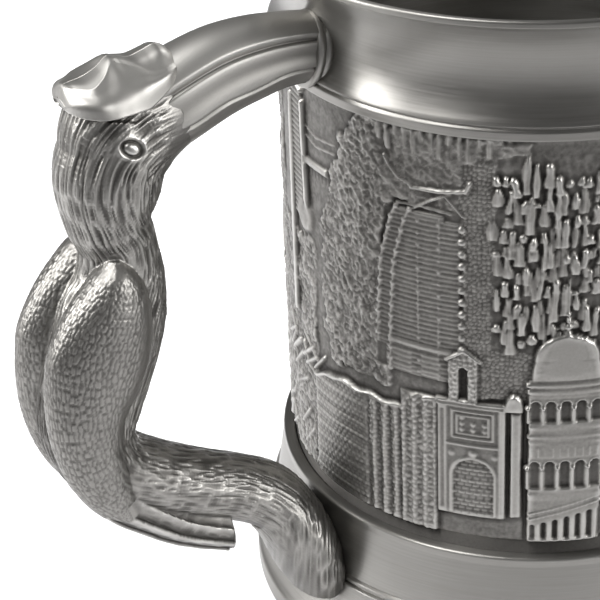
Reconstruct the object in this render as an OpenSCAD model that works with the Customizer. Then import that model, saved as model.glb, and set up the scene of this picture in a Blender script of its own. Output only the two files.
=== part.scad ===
// Pewter tankard: a carved relief sleeve and a spun liner held between a flared rim collar and a
// moulded foot, with a cast handle in the form of a hornbill whose beak meets the collar.
// Origin: centre of the foot's resting face. +Z is up the drum, and the handle points along -X.

/* [Drum] */
// Outside radius of the relief sleeve over its highest carving
sleeve_r = 43; // [36:0.5:52]
// Height of sleeve between the collar and the base band
sleeve_h = 76.2; // [62:0.2:94]
// Thickness of the relief sleeve, from its bore to its highest carving
sleeve_wall = 2; // [1.7:0.1:2.6]
// Wall of the spun liner
liner_wall = 0.9; // [0.7:0.1:1.1]
// Thickness of the floor disc
floor_t = 1.8; // [1.2:0.1:2.6]

/* [Rim collar] */
// Height of the collar from its lower edge to the rim
collar_h = 20.6; // [17:0.2:25]
// How far the rim stands out beyond the sleeve
rim_flare = 4.2; // [2:0.2:6]
// How far the collar's waist stands in from the sleeve
waist_inset = 1.5; // [0.6:0.1:1.5]
// Thickness of the collar's wall
collar_wall = 1.7; // [1.4:0.1:1.9]
// Height of the plain edge band at the collar's bottom
edge_h = 2.1; // [1.5:0.1:3]
// How far that edge band stands out beyond the sleeve
edge_proud = 0.9; // [0.5:0.1:1.5]

/* [Base] */
// Height of the smooth base band
band_h = 11.8; // [9:0.2:15]
// How far the band's top lip stands out beyond the sleeve
lip_proud = 1.2; // [0.8:0.1:2]
// How much the band widens from its lip down to the foot
band_spread = 1.5; // [0.5:0.1:2.5]
// Height of the foot ring
foot_h = 16.4; // [13.5:0.1:20]
// How far the foot stands out beyond the sleeve
foot_flare = 7; // [5.5:0.5:9]
// Depth of the recess under the floor
recess_h = 9; // [6:0.5:9.5]
// How wide the foot's resting face is, from its outer edge to the recess
rest_w = 4.5; // [3:0.5:6]
// Height of the recess's straight wall
rest_h = 4; // [3:0.5:4.5]

/* [Seams] */
// Depth of the rebates that the sleeve's two tongues sit in
lap = 2.4; // [1.8:0.1:3]
// How far each tongue stands in from the sleeve's face
tongue_inset = 0.9; // [0.6:0.1:1]
// Height of lower tongue left bare as a groove above the base band
groove_h = 1.4; // [0.6:0.1:2]
// Thickness of solder in every seam
solder_t = 0.3; // [0.2:0.05:0.5]
// Size of the solder cove between the liner and the floor
cove_r = 1.4; // [0.8:0.1:2]

/* [Handle] */
// How far the bird's back stands out from the sleeve
handle_reach = 52; // [44:1:62]
// Height of the beak's root above the collar's lower edge
beak_up = 6.4; // [5:0.2:8]
// Height of the middle of the arm's pad above the foot ring's top
pad_up = 4; // [3:0.2:5]
// Thickness of the bird, its beak and its arm against their usual thickness
bird_size = 1; // [0.85:0.05:1.15]
// Length of the ferrule along the beak
ferrule_l = 2.2; // [1.6:0.2:3.5]
// How far the ferrule stands out round the beak
ferrule_proud = 0.8; // [0.5:0.1:1.2]

/* [Hidden] */

turned = "#a9a7a4";      // spun and brushed pewter
oxidised = "#6f6d6a";    // cast pewter, blackened and rubbed back
solder = "#8f8e8b";

// Levels up the drum
band_z = foot_h;
sleeve_z = band_z + band_h;
collar_z = sleeve_z + sleeve_h;
crease_z = collar_z + edge_h;
rim_z = collar_z + collar_h;
floor_z = recess_h + floor_t;
upper_ledge_z = collar_z + lap;
lower_ledge_z = sleeve_z - lap;

// Radii, all from the sleeve
sleeve_bore = sleeve_r - sleeve_wall;
tongue_r = sleeve_r - tongue_inset;
liner_in = sleeve_bore - liner_wall;
edge_r = sleeve_r + edge_proud;
waist_r = sleeve_r - waist_inset;
rim_r = sleeve_r + rim_flare;
lip_r = sleeve_r + lip_proud;
band_r = lip_r + band_spread;
foot_r = sleeve_r + foot_flare;
recess_r = foot_r - rest_w;
disc_r = sleeve_bore + 0.8;   // floor disc, and its seat in the foot
ledge_w = 3;                  // width and thickness of the shelf under that disc
ledge_t = 1.5;
ledge_r = disc_r - ledge_w;
bore_r = sleeve_bore + 0.4;   // bore of the base band, round the liner
fit_gap = 0.05;               // film between a cast piece and what it is cut to sit on

curve_steps = 10;

// Points from [r0, z0] to [r1, z1] that start straight and bend outwards as a parabola
function flare(r0, z0, r1, z1, steps = curve_steps) =
    [for (i = [0 : steps]) let (t = i / steps) [r0 + (r1 - r0) * t * t, z0 + (z1 - z0) * t]];
function reversed(list) = [for (i = [len(list) - 1 : -1 : 0]) list[i]];
function inset(points, d) = [for (p = points) [p[0] - d, p[1]]];

// Outside of the three turned pieces, from the bottom up
foot_edge_h = 4;
bead_h = 1.2;
bead_step = 0.45;
chamfer = 0.8;
bead_r = band_r + bead_step;
foot_outline = concat(
    [[foot_r - chamfer, 0], [foot_r, chamfer], [foot_r, foot_edge_h]],
    reversed(flare(bead_r + bead_step, band_z - 2 * bead_h, foot_r - chamfer, foot_edge_h + chamfer)),
    [[bead_r + bead_step, band_z - bead_h - bead_step], [bead_r, band_z - bead_h],
     [bead_r, band_z - bead_step], [band_r, band_z]]);
lip_h = 1.6;
band_outline = [[band_r, band_z], [lip_r, sleeve_z - lip_h], [lip_r, sleeve_z - chamfer / 2],
                [lip_r - chamfer / 2, sleeve_z]];
rim_h = 1.8;
waist_z = crease_z + (rim_z - crease_z) * 0.36;
waist_line = concat(reversed(flare(waist_r, waist_z, edge_r, crease_z)),
                    flare(waist_r, waist_z, rim_r - bead_step, rim_z - rim_h));
collar_outline = concat([[edge_r, collar_z]], waist_line,
                        [[rim_r, rim_z - rim_h], [rim_r, rim_z - chamfer / 2], [rim_r - chamfer / 2, rim_z]]);

module turn(points) { rotate_extrude($fn = 160) polygon(points); }

// Everything inside the drum's outer surface, grown by d, for cutting the handle's ends to fit it
module drum_envelope(d) {
    turn(concat([[0, 0]], inset(foot_outline, -d), inset(band_outline, -d),
                [[sleeve_r + d, sleeve_z + d], [sleeve_r + d, collar_z - d]],
                inset(collar_outline, -d), [[0, rim_z]]));
}

module rim_collar() {
    lip_in = rim_r - chamfer / 2 - collar_wall;
    color(turned) turn(concat(
        collar_outline,
        [[lip_in, rim_z]],
        reversed(flare(liner_in, waist_z, lip_in - bead_step, rim_z - chamfer)),
        [[liner_in, upper_ledge_z], [tongue_r, upper_ledge_z], [tongue_r, collar_z]]));
}

module relief_sleeve() {
    color(oxidised) turn([
        [sleeve_bore, lower_ledge_z + solder_t], [tongue_r, lower_ledge_z + solder_t],
        [tongue_r, sleeve_z + groove_h], [sleeve_r, sleeve_z + groove_h + tongue_inset],
        [sleeve_r, collar_z], [tongue_r, collar_z],
        [tongue_r, upper_ledge_z - solder_t], [sleeve_bore, upper_ledge_z - solder_t]]);
}

module drum_liner() {
    color(turned) difference() {
        translate([0, 0, floor_z]) cylinder(r = sleeve_bore, h = upper_ledge_z - solder_t - floor_z, $fn = 160);
        translate([0, 0, floor_z - 1]) cylinder(r = liner_in, h = upper_ledge_z - floor_z + 2, $fn = 160);
    }
}

module drum_floor() {
    color(turned) translate([0, 0, recess_h]) cylinder(r = disc_r, h = floor_t, $fn = 160);
}

module base_band() {
    color(turned) turn(concat(
        band_outline,
        [[tongue_r, sleeve_z], [tongue_r, lower_ledge_z], [bore_r, lower_ledge_z], [bore_r, band_z]]));
}

module foot_ring() {
    color(turned) turn(concat(
        foot_outline,
        [[disc_r, band_z], [disc_r, recess_h], [ledge_r, recess_h], [ledge_r, recess_h - ledge_t],
         [disc_r, recess_h - ledge_t], [recess_r, rest_h], [recess_r, 0]]));
}

module solder_ring(r_in, r_out, z, h) {
    color(solder) turn([[r_in, z], [r_out, z], [r_out, z + h], [r_in, z + h]]);
}

module collar_solder() { solder_ring(liner_in, tongue_r, upper_ledge_z - solder_t, solder_t); }
module band_solder() { solder_ring(bore_r, tongue_r, lower_ledge_z, solder_t); }
module foot_solder() { solder_ring(sleeve_bore, disc_r, floor_z, cove_r); }

module floor_solder() {
    color(solder) turn(concat(
        [[liner_in, floor_z + cove_r], [liner_in, floor_z]],
        [for (a = [0 : 15 : 75]) [liner_in - cove_r * (1 - sin(a)), floor_z + cove_r * (1 - cos(a))]]));
}

/* Handle. Every station is [out from the sleeve, up from the pad, half depth, half width], in mm at
   the usual reach and span, and is stretched with them. */
usual_reach = 52;
usual_span = 90.4;
beak_z = collar_z + beak_up;
pad_z = band_z + pad_up;
out_k = handle_reach / usual_reach;
up_k = (beak_z - pad_z) / usual_span;

beak_path = [[-3, 89.6, 5.6, 4.6], [4, 91.2, 5.9, 5], [10, 91.4, 6.7, 5.6], [16.5, 90.6, 7.4, 6.2],
             [24, 88.4, 7.9, 6.8], [31, 85.6, 8.4, 7.3]];
skull_path = [[34, 91, 6.6, 6.2], [35.2, 85, 8.2, 7.5]];
bird_path = [[31, 85.6, 8.4, 7.3], [35, 82.4, 8.7, 7.8], [35.8, 77, 8.3, 7.6], [35.4, 71, 6.3, 6.5],
             [35.3, 65.6, 7, 6.9], [36.8, 59.2, 8.9, 7.8], [39.2, 51.4, 9, 8], [41.4, 43.8, 8.4, 8],
             [42.6, 37, 7.2, 7.8], [40.2, 30, 6.8, 7.4], [34, 23.6, 6.4, 6.9], [25.8, 18.6, 6, 6.4],
             [17.6, 14.8, 5.7, 6.3], [11.6, 11, 5.7, 7], [8.4, 6, 5.8, 8.4], [5.5, 1, 5.4, 9.4],
             [4, -3, 5, 9.2], [3, -7.5, 4.4, 7]];
wing_path = [[39.6, 64.6, 2.6, 2.2], [41.4, 57.8, 6.2, 3.4], [43.6, 51, 7.6, 3.8], [45.2, 44, 6.6, 3.8],
             [45.4, 36.5, 5.8, 3.5], [40.4, 26, 4, 3]];
tail_path = [[40.8, 25.5, 4.4, 6], [33, 18, 4, 5.8], [24.4, 11.8, 3.8, 5.6]];
casque_path = [[39.4, 93.4, 2.4, 3.8], [37, 93, 3.4, 5.8], [32.4, 94, 4.4, 6.4], [28, 94.8, 4, 5.2],
               [24.8, 95.4, 2.6, 3.6]];
wing_side = 4.4;         // how far each folded wing stands off the bird's middle

module station(s, grow = 0) {
    depth = s[2] * bird_size + grow;
    width = s[3] * bird_size + grow;
    translate([-(sleeve_r + s[0] * out_k), 0, pad_z + s[1] * up_k])
        scale([depth, width, depth])
            sphere(r = 1, $fn = 20);
}

// Station t of the way from b to c, on a smooth curve that also heeds its neighbours a and d
function between(a, b, c, d, t) =
    b + 0.5 * t * ((c - a) + t * ((2 * a - 5 * b + 4 * c - d) + t * (3 * b - a - 3 * c + d)));
function smooth(path, steps) = concat(
    [for (i = [0 : len(path) - 2], s = [0 : steps - 1])
        between(path[max(i - 1, 0)], path[i], path[i + 1], path[min(i + 2, len(path) - 1)], s / steps)],
    [path[len(path) - 1]]);

module limb(path, grow = 0, steps = 2) {
    line = smooth(path, steps);
    for (i = [0 : len(line) - 2])
        hull() {
            station(line[i], grow);
            station(line[i + 1], grow);
        }
}

// The feathered head ends, and the bare beak begins, at this upright plane
face_out = 25;
module beak_side() {
    x = -(sleeve_r + face_out * out_k);
    translate([x, -handle_reach / 2, (pad_z + beak_z) / 2])
        cube([-x, handle_reach, beak_z]);
}

module bird_blank() {
    limb(bird_path);
    limb([beak_path[3], beak_path[4], beak_path[5]]);
    limb(skull_path);
    limb(tail_path);
    for (side = [-1, 1])
        translate([0, side * wing_side * bird_size, 0]) limb(wing_path, steps = 1);
}

module beak() {
    color(turned) difference() {
        intersection() {
            limb(beak_path);
            beak_side();
        }
        drum_envelope(solder_t);
    }
}

module bird_casting() {
    color(oxidised) difference() {
        bird_blank();
        beak_side();
        drum_envelope(solder_t);
    }
}

module casque() {
    color(turned) difference() {
        limb(casque_path);
        limb(beak_path, fit_gap);
        limb([bird_path[0], bird_path[1], bird_path[2]], fit_gap);
        limb(skull_path, fit_gap);
    }
}

module beak_ferrule() {
    color(turned) difference() {
        intersection() {
            limb([beak_path[0], beak_path[1]], ferrule_proud);
            drum_envelope(ferrule_l);
        }
        drum_envelope(fit_gap);
        limb(beak_path, fit_gap);
    }
}

module arm_solder() {
    pad_path = [for (i = [len(bird_path) - 2 : len(bird_path) - 1]) bird_path[i]];
    color(solder) difference() {
        intersection() {
            limb(pad_path, solder_t, 8);
            drum_envelope(solder_t);
        }
        drum_envelope(fit_gap);
    }
}

rim_collar();
relief_sleeve();
drum_liner();
drum_floor();
base_band();
foot_ring();
collar_solder();
band_solder();
foot_solder();
floor_solder();
beak_ferrule();
beak();
casque();
bird_casting();
arm_solder();
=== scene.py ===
# Pewter tankard: turned collar and foot, carved relief drum, cast hornbill handle
import math
import bmesh
import bpy
import numpy as np
from mathutils import Matrix, Vector


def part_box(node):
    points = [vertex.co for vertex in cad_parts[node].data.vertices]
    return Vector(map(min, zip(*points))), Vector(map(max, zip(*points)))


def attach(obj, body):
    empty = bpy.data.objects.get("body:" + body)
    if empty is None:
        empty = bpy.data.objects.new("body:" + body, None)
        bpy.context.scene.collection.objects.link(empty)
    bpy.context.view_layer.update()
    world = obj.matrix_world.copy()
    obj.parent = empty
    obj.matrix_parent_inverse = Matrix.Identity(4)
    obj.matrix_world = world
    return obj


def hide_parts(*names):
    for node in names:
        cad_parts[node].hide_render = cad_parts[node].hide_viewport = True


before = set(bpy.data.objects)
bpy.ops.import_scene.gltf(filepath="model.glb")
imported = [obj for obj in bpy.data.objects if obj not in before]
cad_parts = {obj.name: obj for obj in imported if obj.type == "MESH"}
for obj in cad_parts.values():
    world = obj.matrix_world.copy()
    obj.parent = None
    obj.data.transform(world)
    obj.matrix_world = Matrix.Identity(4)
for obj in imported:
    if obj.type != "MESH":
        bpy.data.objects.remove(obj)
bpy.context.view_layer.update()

mm = 0.001
tau = 2 * math.pi


def boxMm(node):
    low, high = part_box(node)
    return low / mm, high / mm


# the drum's own measures in millimetres, all read from the frame
sleeveLow, sleeveHigh = boxMm("relief_sleeve")
collarLow, collarHigh = boxMm("rim_collar")
bandLow, bandHigh = boxMm("base_band")
footHigh = boxMm("foot_ring")[1]
linerLow, linerHigh = boxMm("drum_liner")
floorLow, floorHigh = boxMm("drum_floor")
drumR = sleeveHigh.x
linerR = linerHigh.x
linerBore = boxMm("floor_solder")[1].x
around = tau * drumR             # length once round the sleeve


def linearColour(hexColour):
    channels = [int(hexColour[i:i + 2], 16) / 255 for i in (1, 3, 5)]
    return (*[c / 12.92 if c <= 0.04045 else ((c + 0.055) / 1.055) ** 2.4 for c in channels], 1.0)


def addNode(tree, kind, settings=None, inputs=None):
    node = tree.nodes.new(kind)
    for key, value in (settings or {}).items():
        if key != "stops":
            setattr(node, key, value)
            continue
        elements = node.color_ramp.elements
        while len(elements) < len(value):
            elements.new(0.5)
        for element, (place, hexColour) in zip(elements, value):
            element.position = place
            element.color = linearColour(hexColour)
    for key, value in (inputs or {}).items():
        if isinstance(value, bpy.types.NodeSocket):
            tree.links.new(value, node.inputs[key])
        else:
            node.inputs[key].default_value = value
    return node


# Turned pewter, spun and then brushed round: satin, with fine rings and soft grey clouds
turnedFinish = {
    "name": "turnedBrushedPewter",
    "colours": [(0.3, "#8a8884"), (0.7, "#9b9995")],
    "roughness": (0.32, 0.45),
    "brushMm": 0.35,       # brush lines are about 0.08 apart, drawn coarser so that they show
    "brushRun": 45,        # how much longer than wide a brush line is
    "brushDepth": 0.01,
    "cloudMm": (18, 7),    # round the drum, up the drum
    "grain": 0.7,          # how far the shine is drawn out across the brush lines
}


def makeTurnedPewter():
    f = turnedFinish
    material = bpy.data.materials.new(f["name"])
    material.use_nodes = True
    tree = material.node_tree
    shader = tree.nodes["Principled BSDF"]
    uv = addNode(tree, "ShaderNodeUVMap", {"uv_map": "millimetres"}).outputs[0]
    lines = addNode(tree, "ShaderNodeMapping", inputs={
        "Vector": uv, "Scale": (1 / (f["brushMm"] * f["brushRun"]), 1 / f["brushMm"], 1)})
    brush = addNode(tree, "ShaderNodeTexNoise", inputs={
        "Vector": lines.outputs[0], "Scale": 1.0, "Detail": 2.0, "Roughness": 0.6}).outputs[0]
    patches = addNode(tree, "ShaderNodeMapping", inputs={
        "Vector": uv, "Scale": (1 / f["cloudMm"][0], 1 / f["cloudMm"][1], 1)})
    cloud = addNode(tree, "ShaderNodeTexNoise", inputs={
        "Vector": patches.outputs[0], "Scale": 1.0, "Detail": 3.0}).outputs[0]
    mixed = addNode(tree, "ShaderNodeMix", {"data_type": "FLOAT"},
                    {0: 0.5, 2: cloud, 3: brush}).outputs[0]
    ramp = addNode(tree, "ShaderNodeValToRGB", {"stops": f["colours"]}, {0: mixed})
    low, high = f["roughness"]
    rough = addNode(tree, "ShaderNodeMapRange", inputs={0: mixed, 1: 0.3, 2: 0.7, 3: low, 4: high})
    bump = addNode(tree, "ShaderNodeBump", inputs={
        "Strength": 0.5, "Distance": f["brushDepth"] * mm, "Height": brush})
    tangent = addNode(tree, "ShaderNodeTangent", {"direction_type": "RADIAL", "axis": "Z"})
    tree.links.new(ramp.outputs[0], shader.inputs["Base Color"])
    tree.links.new(rough.outputs[0], shader.inputs["Roughness"])
    tree.links.new(bump.outputs[0], shader.inputs["Normal"])
    tree.links.new(tangent.outputs[0], shader.inputs["Tangent"])
    shader.inputs["Metallic"].default_value = 1.0
    shader.inputs["Anisotropic"].default_value = f["grain"]
    shader.inputs["Anisotropic Rotation"].default_value = 0.25   # the shine runs up the drum
    return material


# Cast pewter, blackened and rubbed back: dark matt hollows, worn satin on all that stands out
reliefFinish = {
    "name": "antiquedReliefPewter",
    "colours": [(0.0, "#343230"), (0.35, "#62605d"), (0.62, "#8b8985"), (1.0, "#b0aeaa")],
    "roughness": (0.34, 0.62),
    "grainMm": 0.45, "grainDepth": 0.04, "cloudMm": 9, "stain": 0.3,
}
# The same casting alloy on the bird, rubbed brighter where a hand holds it, with painted shade in the slit
# between its wings
birdFinish = {
    "name": "rubbedCastPewter",
    "colours": [(0.0, "#3a3835"), (0.35, "#64625f"), (0.65, "#989692"), (1.0, "#c0beba")],
    "roughness": (0.33, 0.55),
    "grainMm": 0.4, "grainDepth": 0.02, "cloudMm": 12, "stain": 0.25,
}
# Cast pewter polished by hand: light and smooth, a little grey left in the cut lines
polishedFinish = {
    "name": "handPolishedPewter",
    "colours": [(0.0, "#4a4845"), (0.4, "#8e8c88"), (0.7, "#a8a6a2"), (1.0, "#bcbab6")],
    "roughness": (0.4, 0.54),
    "grainMm": 0.3, "grainDepth": 0.008, "cloudMm": 7, "stain": 0.16,
}
# Soft solder, wiped while hot: dull and a little lumpy
solderFinish = {
    "name": "wipedSolder",
    "colours": [(0.0, "#4c4a48"), (0.5, "#7d7b78"), (1.0, "#9d9b98")],
    "roughness": (0.4, 0.6),
    "grainMm": 0.5, "grainDepth": 0.05, "cloudMm": 3, "stain": 0.6,
}


def makeCastPewter(f):
    material = bpy.data.materials.new(f["name"])
    material.use_nodes = True
    tree = material.node_tree
    shader = tree.nodes["Principled BSDF"]
    # the worn attribute holds patina and wear, and on the bird also painted shade in the slit between the
    # wings
    worn = addNode(tree, "ShaderNodeAttribute", {"attribute_name": "worn"}).outputs["Fac"]
    place = addNode(tree, "ShaderNodeTexCoord").outputs["Object"]
    grain = addNode(tree, "ShaderNodeTexNoise", inputs={
        "Vector": place, "Scale": 1 / (f["grainMm"] * mm), "Detail": 3.0, "Roughness": 0.6}).outputs[0]
    cloud = addNode(tree, "ShaderNodeTexNoise", inputs={
        "Vector": place, "Scale": 1 / (f["cloudMm"] * mm), "Detail": 3.0}).outputs[0]
    both = addNode(tree, "ShaderNodeMix", {"data_type": "FLOAT"}, {0: 0.5, 2: grain, 3: cloud}).outputs[0]
    stain = addNode(tree, "ShaderNodeMath", {"operation": "MULTIPLY_ADD"},
                    {0: both, 1: f["stain"], 2: -f["stain"] / 2}).outputs[0]
    shade = addNode(tree, "ShaderNodeMath", {"operation": "ADD", "use_clamp": True},
                    {0: worn, 1: stain}).outputs[0]
    ramp = addNode(tree, "ShaderNodeValToRGB", {"stops": f["colours"]}, {0: shade})
    low, high = f["roughness"]
    rough = addNode(tree, "ShaderNodeMapRange", inputs={0: shade, 3: high, 4: low})
    bump = addNode(tree, "ShaderNodeBump", inputs={
        "Strength": 0.6, "Distance": f["grainDepth"] * mm, "Height": grain})
    tree.links.new(ramp.outputs[0], shader.inputs["Base Color"])
    tree.links.new(rough.outputs[0], shader.inputs["Roughness"])
    tree.links.new(bump.outputs[0], shader.inputs["Normal"])
    shader.inputs["Metallic"].default_value = 1.0
    return material


print("materials")
finishes = {
    "turned": makeTurnedPewter(),
    "relief": makeCastPewter(reliefFinish),
    "bird": makeCastPewter(birdFinish),
    "polished": makeCastPewter(polishedFinish),
    "solder": makeCastPewter(solderFinish),
}


def addPiece(name, points, faces, finish, nodes=(), uv=None, worn=None):
    mesh = bpy.data.meshes.new(name)
    faces = [np.asarray(block) for block in faces]
    loops = np.concatenate([block.ravel() for block in faces]).astype(np.int32)
    sizes = np.concatenate([np.full(len(block), block.shape[1]) for block in faces])
    mesh.vertices.add(len(points))
    mesh.vertices.foreach_set("co", (np.asarray(points, dtype=np.float64) * mm).ravel())
    mesh.loops.add(len(loops))
    mesh.loops.foreach_set("vertex_index", loops)
    mesh.polygons.add(len(sizes))
    starts = np.concatenate([[0], np.cumsum(sizes)[:-1]]).astype(np.int32)
    mesh.polygons.foreach_set("loop_start", starts)
    mesh.polygons.foreach_set("use_smooth", np.ones(len(sizes), dtype=bool))
    mesh.update(calc_edges=True)
    if uv is not None:
        layer = mesh.uv_layers.new(name="millimetres")
        layer.data.foreach_set("uv", np.asarray(uv, dtype=np.float32).ravel())
    setWearAndShade(mesh, 0.6 if worn is None else worn)
    piece = bpy.data.objects.new(name, mesh)
    bpy.context.collection.objects.link(piece)
    return dress(piece, finish, nodes)


def setWearAndShade(mesh, worn):
    layer = mesh.attributes.get("worn") or mesh.attributes.new("worn", "FLOAT", "POINT")
    values = np.broadcast_to(np.asarray(worn, dtype=np.float32).ravel(), len(mesh.vertices))
    layer.data.foreach_set("value", np.ascontiguousarray(values))


def dress(piece, finish, nodes=()):
    piece.data.materials.clear()
    piece.data.materials.append(finishes[finish])
    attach(piece, "root")
    if nodes:
        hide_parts(*nodes)
    return piece


def roundCorners(corners, steps=5):
    line = []
    for i, (r, z, fillet) in enumerate(corners):
        here = Vector((r, z))
        back = Vector(corners[i - 1][:2]) - here
        ahead = Vector(corners[(i + 1) % len(corners)][:2]) - here
        if fillet <= 0:
            line.append((r, z))
            continue
        room = 0.45 * min(back.length, ahead.length)
        reach = min(fillet / math.tan(back.angle(ahead) / 2), room)
        start = here + back.normalized() * reach
        end = here + ahead.normalized() * reach
        hold = 0.1 * room            # one more ring each side keeps the flats flat under smooth shading
        line.append(tuple(start + back.normalized() * hold))
        for k in range(steps + 1):
            t = k / steps
            line.append(tuple((1 - t) ** 2 * start + 2 * t * (1 - t) * here + t * t * end))
        line.append(tuple(end + ahead.normalized() * hold))
    return line


def flare(r0, z0, r1, z1, steps=14):
    return [(r0 + (r1 - r0) * (k / steps) ** 2, z0 + (z1 - z0) * k / steps, 0)
            for k in range(steps + 1)]


def addLathe(name, corners, nodes, segments=320):
    line = np.array(roundCorners(corners))
    count = len(line)
    angle = np.linspace(0, tau, segments, endpoint=False)
    points = np.stack([line[:, :1] * np.cos(angle), line[:, :1] * np.sin(angle),
                       line[:, 1:] + 0 * angle], axis=-1)
    index = np.arange(count * segments).reshape(count, segments)
    quads = [index, np.roll(index, -1, axis=1)]
    quads += [np.roll(edge, -1, axis=0) for edge in quads[::-1]]
    run = np.concatenate([[0], np.cumsum(np.linalg.norm(np.diff(line, axis=0), axis=1))])
    turn = np.arange(segments) / segments * around
    corner = np.stack([np.broadcast_to(turn + step * around / segments, (count, segments))
                       for step in (0, 1, 1, 0)], axis=-1)
    height = np.stack([np.broadcast_to(side[:, None], (count, segments))
                       for side in (run, run, np.roll(run, -1), np.roll(run, -1))], axis=-1)
    uv = np.stack([corner, height], axis=-1)
    faces = np.stack(quads, axis=-1).reshape(-1, 4)
    return addPiece(name, points.reshape(-1, 3), [faces], "turned", nodes,
                    uv=uv.reshape(-1, 2))


# Rim collar: a plain band over the sleeve's top, a waist, and a flare up to a rolled rim
collar = {
    "wall": 1.0,
    "edgeH": 2.1,
    "edgeProud": 0.9,
    "waistInset": 1.5,
    "waistShare": 0.36,  # how far up from the crease to the rim the waist lies
    "rimH": 1.3,
    "lap": 2.4,          # how far it laps over the sleeve's tongue
    "tongueInset": 0.9,
}


def makeCollar():
    low, high = collarLow.z, collarHigh.z
    creaseZ = low + collar["edgeH"]
    waistZ = creaseZ + (high - creaseZ) * collar["waistShare"]
    waistR = drumR - collar["waistInset"]
    edgeR = drumR + collar["edgeProud"]
    tongueR = drumR - collar["tongueInset"]
    mouthR = collarHigh.x - collar["wall"]
    corners = [(edgeR - 0.1, low, 0.35), (edgeR, creaseZ - 0.55, 0.5),
               (edgeR - 0.4, creaseZ - 0.1, 0.1), (edgeR - 0.12, creaseZ + 0.3, 0.12)]
    corners += flare(waistR, waistZ, edgeR - 0.15, creaseZ + 0.5)[::-1]
    corners += flare(waistR, waistZ, collarHigh.x - 0.55, high - collar["rimH"])[1:]
    corners += [(collarHigh.x, high - collar["rimH"] + 0.25, 0.3), (collarHigh.x, high, 0.5),
                (mouthR, high, 0.45)]
    corners += flare(linerBore, waistZ, mouthR - 0.45, high - 0.9)[::-1]
    corners += [(linerBore, low + collar["lap"], 0.15), (tongueR, low + collar["lap"], 0.1),
                (tongueR, low, 0.1)]
    return addLathe("rimCollar", corners, ["rim_collar"])


# Base band: a small rolled lip that holds the sleeve's foot, and a plain cone under it
band = {
    "lipProud": 1.2,
    "lipH": 1.6,
    "spread": 1.5,
}


def makeBand():
    low, high = bandLow.z, bandHigh.z
    lipR = drumR + band["lipProud"]
    tongueR = drumR - collar["tongueInset"]
    boreR = drumR - collar["tongueInset"] - 0.7
    ledgeZ = high - collar["lap"]
    corners = [(lipR + band["spread"], low, 0.15), (lipR, high - band["lipH"], 2.0),
               (lipR, high, 0.55), (tongueR, high, 0.3), (tongueR, ledgeZ, 0.1),
               (boreR, ledgeZ, 0.1), (boreR, low, 0.1)]
    return addLathe("baseBand", corners, ["base_band"])


# Foot ring: two fine beads, a long flare, a plain edge, and a recess under the floor
foot = {
    "edgeH": 4,
    "chamfer": 0.8,
    "beadH": 1.2,
    "beadStep": 0.45,
    "restW": 4.5,
    "restH": 4,
    "shelfW": 3,
    "shelfT": 1.5,
}


def makeFoot():
    footR, top, high = footHigh.x, footHigh.z, foot["beadH"]
    beadR = drumR + band["lipProud"] + band["spread"] + foot["beadStep"]
    wideR = beadR + foot["beadStep"]
    shelfZ, shelfR = floorLow.z, floorHigh.x
    corners = [(footR - foot["chamfer"], 0, 0.5), (footR, foot["chamfer"], 0.6),
               (footR, foot["edgeH"], 0.9)]
    corners += flare(wideR, top - 2 * high, footR - foot["chamfer"],
                     foot["edgeH"] + foot["chamfer"])[::-1]
    corners += [(wideR, top - high - 0.3, 0.35), (beadR - 0.3, top - high - 0.05, 0.08),
                (beadR, top - high + 0.25, 0.2), (beadR, top - 0.4, 0.35),
                (beadR - foot["beadStep"] - 0.1, top, 0.1), (shelfR, top, 0.1), (shelfR, shelfZ, 0.1),
                (shelfR - foot["shelfW"], shelfZ, 0.2),
                (shelfR - foot["shelfW"], shelfZ - foot["shelfT"], 0.3),
                (shelfR, shelfZ - foot["shelfT"], 0.6),
                (footR - foot["restW"], foot["restH"], 0.6), (footR - foot["restW"], 0, 0.5)]
    return addLathe("footRing", corners, ["foot_ring"])


def makeLiner():
    corners = [(linerR, linerLow.z, 0.1), (linerR, linerHigh.z, 0.1),
               (linerBore, linerHigh.z, 0.1), (linerBore, linerLow.z, 0.1)]
    return addLathe("drumLiner", corners, ["drum_liner"])


def makeFloor():
    corners = [(0.01, floorLow.z, 0), (floorHigh.x, floorLow.z, 0.2), (floorHigh.x, floorHigh.z, 0.2),
               (0.01, floorHigh.z, 0)]
    return addLathe("drumFloor", corners, ["drum_floor"])


print("turned pieces")
makeCollar()
makeBand()
makeFoot()
makeLiner()
makeFloor()
for node in ("collar_solder", "band_solder", "foot_solder", "floor_solder", "arm_solder"):
    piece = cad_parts[node]
    piece.data.materials.clear()
    piece.data.materials.append(finishes["solder"])
    setWearAndShade(piece.data, 0.5)


# Relief sleeve: one cast sheet, carved as heights over a plain ground and wrapped round the drum.
# Places on it are u, millimetres round from the handle towards the right, and z, up from the foot.
sheet = {
    "step": 0.22,        # grid spacing
    "groundR": 41.85,    # radius of the plain ground
    "depth": 1.2,        # how far the highest work stands out from it
    "bottom": 30.5,      # where the carving starts over the bare groove
    "turned": -6.2,      # the scene starts this far round from the handle
}
columns = int(around / sheet["step"])
rows = int((collarLow.z - bandHigh.z) / sheet["step"])
uLine = (np.arange(columns) / columns - 0.5) * around
zLine = np.linspace(bandHigh.z, collarLow.z, rows)
uAll, zAll = np.meshgrid(uLine, zLine)
height = np.zeros((rows, columns))


def softStep(x):
    t = np.clip(x, 0, 1)
    return t * t * (3 - 2 * t)


def gridNoise(x, y, seed, wrap=211):
    table = np.random.default_rng(seed).uniform(-1, 1, (197, wrap))
    xi, yi = np.floor(x).astype(int), np.floor(y).astype(int)
    s, t = softStep(x - xi), softStep(y - yi)
    lower = table[yi % 197, xi % wrap] * (1 - s) + table[yi % 197, (xi + 1) % wrap] * s
    upper = table[(yi + 1) % 197, xi % wrap] * (1 - s) + table[(yi + 1) % 197, (xi + 1) % wrap] * s
    return lower * (1 - t) + upper * t


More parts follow.
